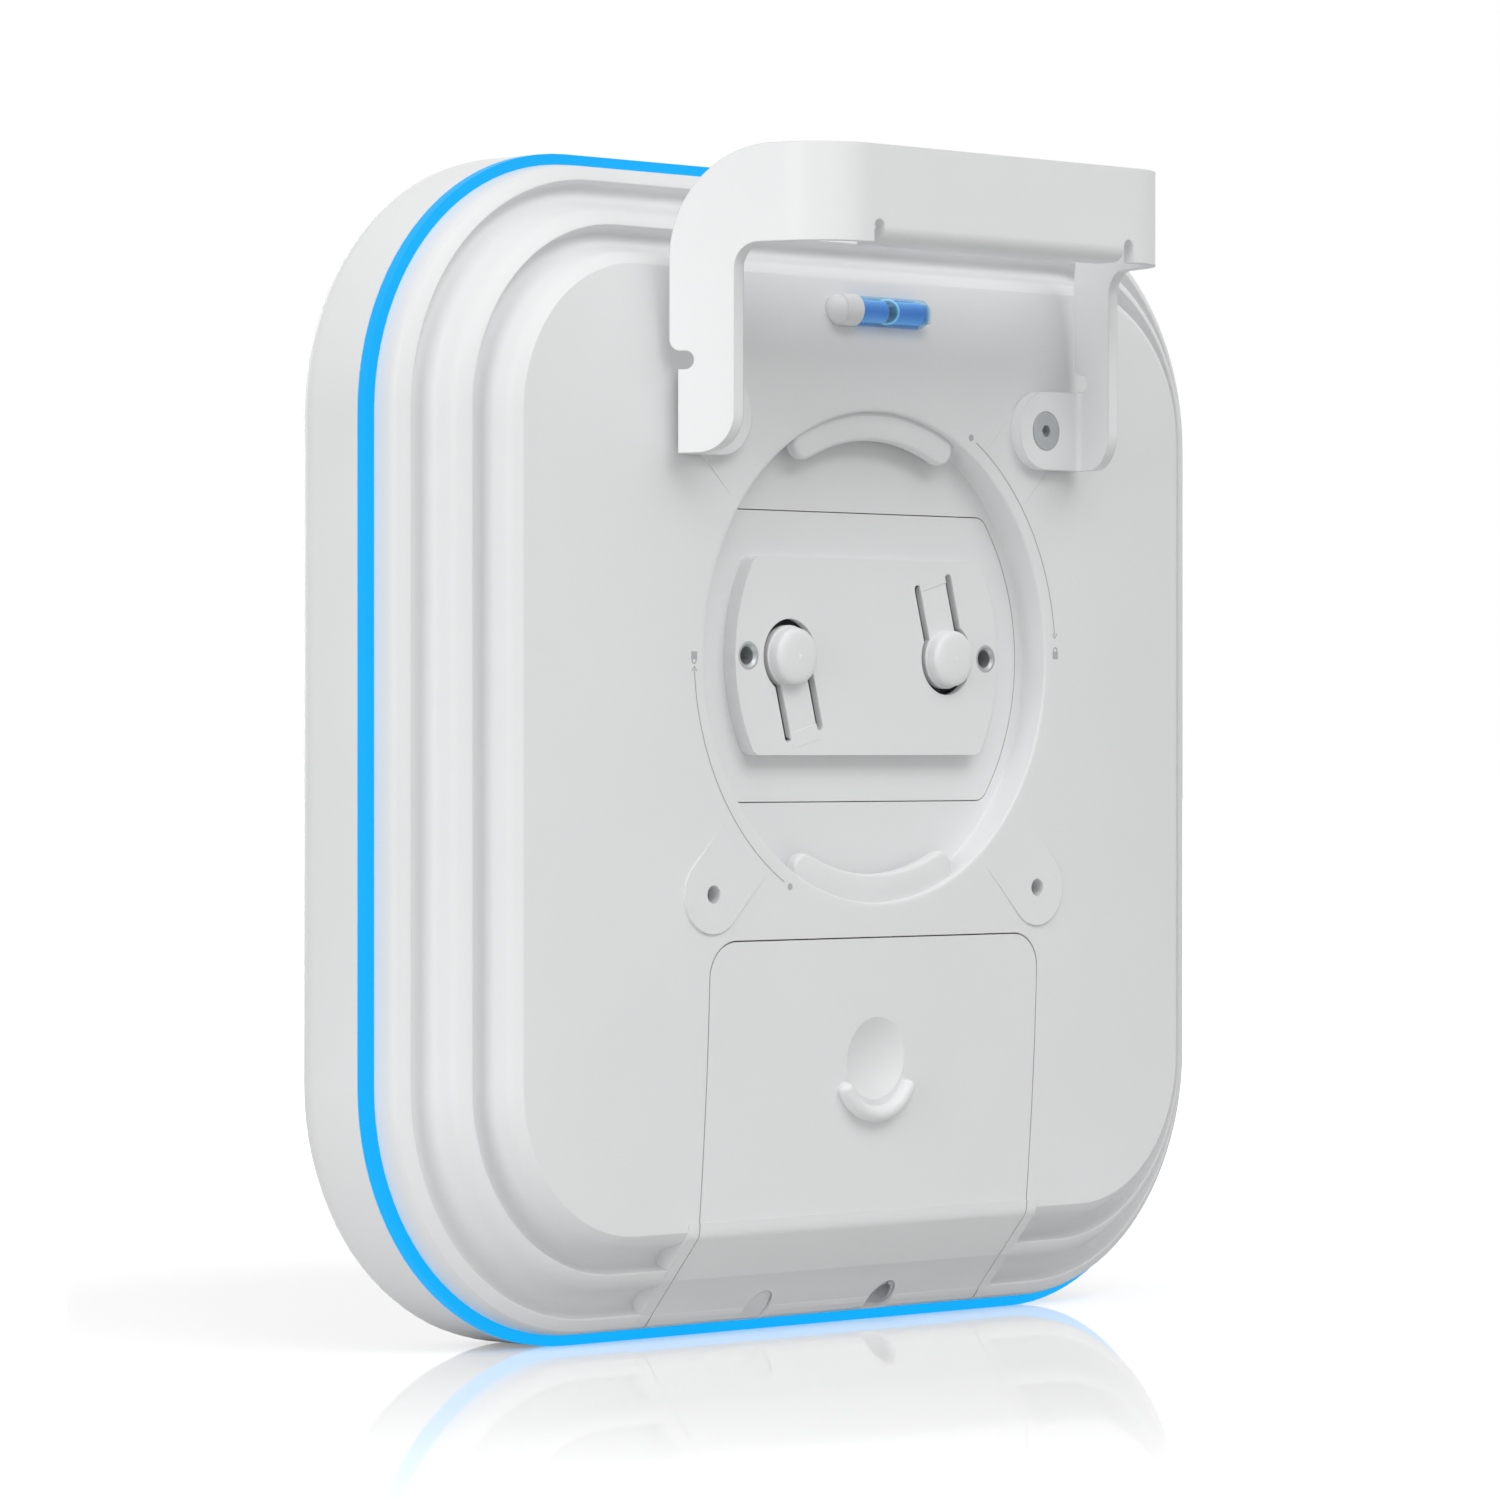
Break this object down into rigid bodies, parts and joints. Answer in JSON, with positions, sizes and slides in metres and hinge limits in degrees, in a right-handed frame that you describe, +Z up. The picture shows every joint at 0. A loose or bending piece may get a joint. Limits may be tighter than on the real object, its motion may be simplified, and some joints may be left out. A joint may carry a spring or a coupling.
{
  "type": "ceiling access point",
  "caption": "Square wireless access point with a twist-lock back, lit edge ring, hanging bracket, level vial and sliding service cover.",
  "frame": {"origin": "centre of the twist-lock socket, in the plane of its rim", "axes": "-Y is the way out of the socket toward the ceiling or wall, +Y runs to the front radome, +Z is up toward the hanging bracket, +X is right seen from the back"},
  "size_m": [0.261, 0.0906, 0.2611],
  "materials": {
    "cast_white": "matt",
    "radome_white": "matt",
    "cover_white": "matt",
    "panel_white": "matt",
    "bracket_white": "satin",
    "ring_blue": "diffusing, lit from inside",
    "zinc_steel": "satin",
    "black_rubber": "matt",
    "gland_grey": "matt",
    "dark_plastic": "matt",
    "red_plastic": "matt",
    "spring_gold": "bright",
    "ptfe": "matt",
    "green_steel": "satin",
    "board_green": "solder mask",
    "flex_amber": "polyimide film",
    "led_body": "clear",
    "heat_alloy": "extruded",
    "tin_sheet": "tinned",
    "pad_blue": "soft",
    "vial_blue": "clear tinted",
    "fluid_blue": "liquid",
    "bubble_air": "air"
  },
  "bodies": {
    "base": {"rear_housing": "cast_white", "socket_cup": "cast_white", "connector_tub": "cover_white", "front_radome": "radome_white", "light_ring": "ring_blue", "led_strip": "flex_amber", "side_leds": "led_body", "housing_gasket": "black_rubber", "socket_panel": "panel_white", "threaded_inserts": "zinc_steel", "panel_screws": "zinc_steel", "cover_gasket": "black_rubber", "ethernet_jack": "tin_sheet", "jack_contacts": "spring_gold", "jack_seal": "black_rubber", "reset_switch": "dark_plastic", "vent_membrane": "ptfe", "ground_screw": "green_steel", "main_board": "board_green", "processor_chips": "dark_plastic", "shield_cans": "tin_sheet", "thermal_pads": "pad_blue", "heat_spreader": "heat_alloy", "line_transformers": "dark_plastic", "capacitors": "dark_plastic", "power_inductors": "dark_plastic", "board_screws": "zinc_steel", "reflector_plate": "heat_alloy", "antenna_elements": "spring_gold", "antenna_posts": "dark_plastic", "antenna_feeds": "spring_gold", "spreader_screws": "zinc_steel", "level_vial": "vial_blue", "vial_fluid": "fluid_blue", "vial_cap": "panel_white", "hanging_bracket": "bracket_white", "bracket_screws": "zinc_steel", "led_lead": "flex_amber"},
    "cover": {"service_cover": "cover_white", "cable_gland": "gland_grey", "blank_plug": "cover_white"},
    "latch_left": {"latch_button_left": "panel_white"},
    "latch_right": {"latch_button_right": "panel_white"},
    "reset": {"reset_button": "red_plastic"},
    "bubble": {"vial_bubble": "bubble_air"}
  },
  "joints": [
    {"name": "cover_slide", "type": "slide", "parent": "base", "child": "cover", "axis": [0, 0, -1], "range_m": [0, 0.09]},
    {"name": "latch_left_press", "type": "hinge", "parent": "base", "child": "latch_left", "pos_m": [-0.021, 0.0042, -0.01642], "axis": [-0.9659, 0, -0.2588], "range_deg": [0, 7], "stiffness_Nm_per_rad": 1.2, "springref_deg": -1.15},
    {"name": "latch_right_press", "type": "hinge", "parent": "base", "child": "latch_right", "pos_m": [0.021, 0.0042, 0.01642], "axis": [0.9659, 0, 0.2588], "range_deg": [0, 7], "stiffness_Nm_per_rad": 1.2, "springref_deg": -1.15},
    {"name": "reset_press", "type": "slide", "parent": "base", "child": "reset", "axis": [0, 0, 1], "range_m": [0, 0.0008], "stiffness_N_per_m": 1500, "springref_m": -0.0003},
    {"name": "bubble_travel", "type": "slide", "parent": "base", "child": "bubble", "axis": [1, 0, 0], "range_m": [-0.005, 0.005]}
  ]
}
